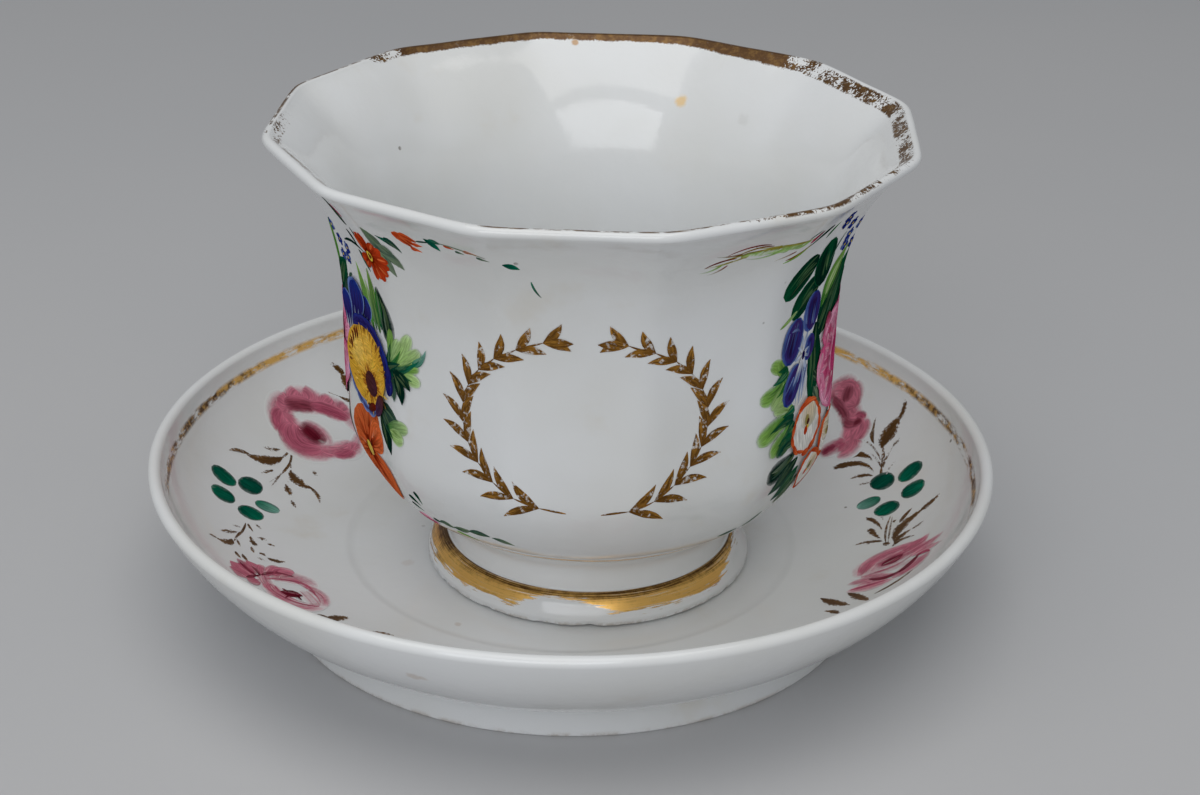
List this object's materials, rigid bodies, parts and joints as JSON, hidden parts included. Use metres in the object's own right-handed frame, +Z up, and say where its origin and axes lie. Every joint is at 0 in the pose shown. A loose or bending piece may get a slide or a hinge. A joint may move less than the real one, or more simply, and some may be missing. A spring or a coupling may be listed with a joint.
{
  "type": "chocolate cup with saucer",
  "caption": "Porcelain chocolate cup, a flared bell with flat moulded sides on a round foot, standing in a deep saucer on a foot ring.",
  "frame": {"origin": "centre of the circle on which the saucer's foot ring stands, on the table", "axes": "+Z up along the saucer's axis; -Y towards the viewer of the picture, +X to the viewer's right"},
  "size_m": [0.15, 0.15, 0.0892],
  "materials": {
    "porcelain": "clear glossy glaze over white hard-paste porcelain",
    "porcelain_foot": "glossy glaze, thin and worn at the standing edge",
    "enamel": "overglaze enamel colours, painted by brush and fired",
    "gilding": "brushed gilding, fired, polished and partly rubbed away"
  },
  "bodies": {
    "saucer": {"saucer_dish": "porcelain", "saucer_foot_ring": "porcelain_foot"},
    "cup": {"cup_body": "porcelain", "cup_foot": "porcelain_foot"}
  },
  "joints": [
    {"name": "cup_lift", "type": "slide", "parent": "saucer", "child": "cup", "axis": [0, 0, 1], "range_m": [0, 0.09]}
  ]
}
